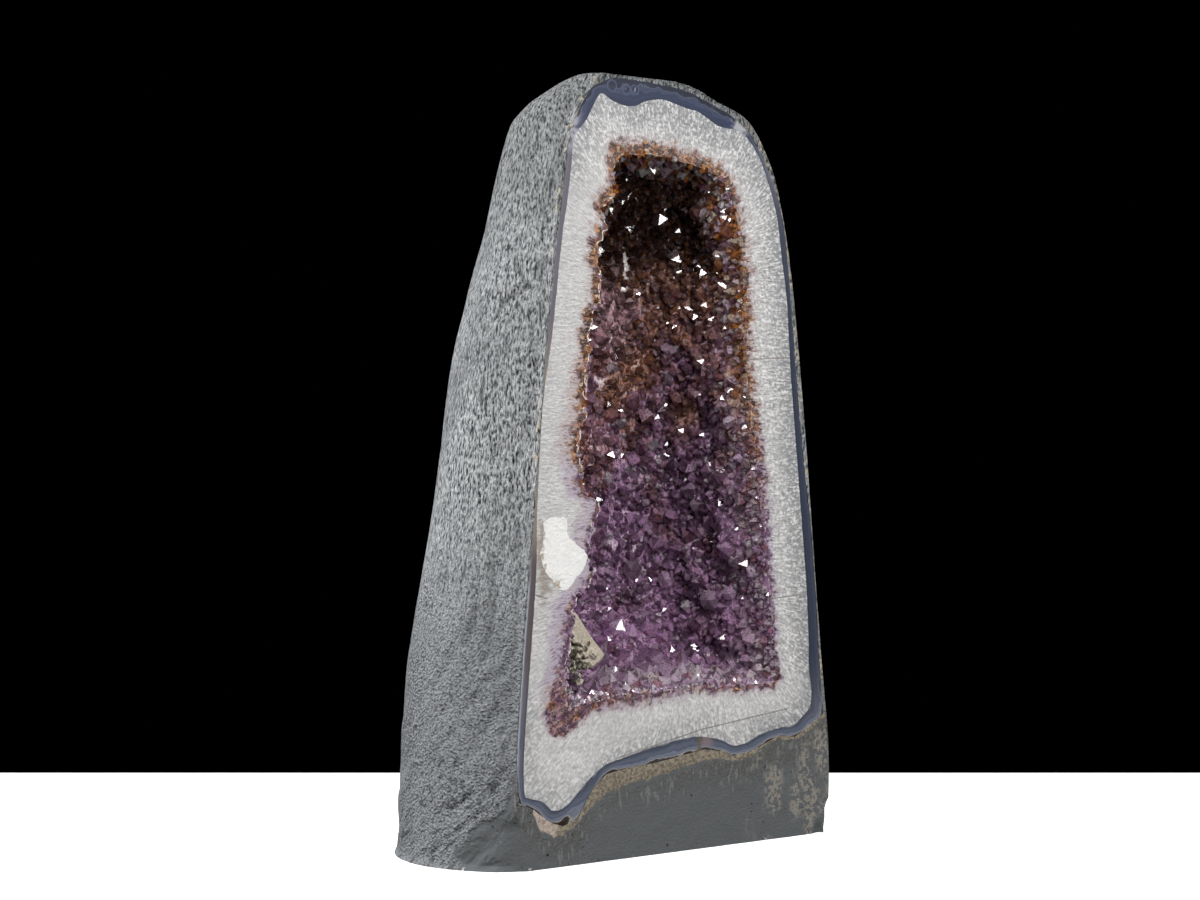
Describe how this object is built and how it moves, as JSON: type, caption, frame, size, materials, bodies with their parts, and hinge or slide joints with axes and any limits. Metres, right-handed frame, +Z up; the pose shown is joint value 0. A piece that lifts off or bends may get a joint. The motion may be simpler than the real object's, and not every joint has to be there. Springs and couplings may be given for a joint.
{
  "type": "amethyst geode",
  "caption": "Tall cut geode lined with amethyst crystals inside a white quartz wall and a banded agate rind, standing upright in a grey cement coat with a flat foot.",
  "frame": {"origin": "on the resting plane, under the middle of the whole object's box", "axes": "+Z up along the geode's height, -Y out of the sawn face, +X to the right of someone who looks at the face"},
  "size_m": [0.2664, 0.157, 0.432],
  "materials": {
    "cement": "matte",
    "quartz": "satin",
    "agate": "satin",
    "amethyst": "gloss",
    "natural_skin": "matte",
    "calcite_white": "matte",
    "calcite_beige": "satin"
  },
  "bodies": {
    "root": {"cement_coat": "cement", "geode": "quartz", "calcite_patch": "calcite_white", "calcite_crystal": "calcite_beige"}
  },
  "joints": []
}
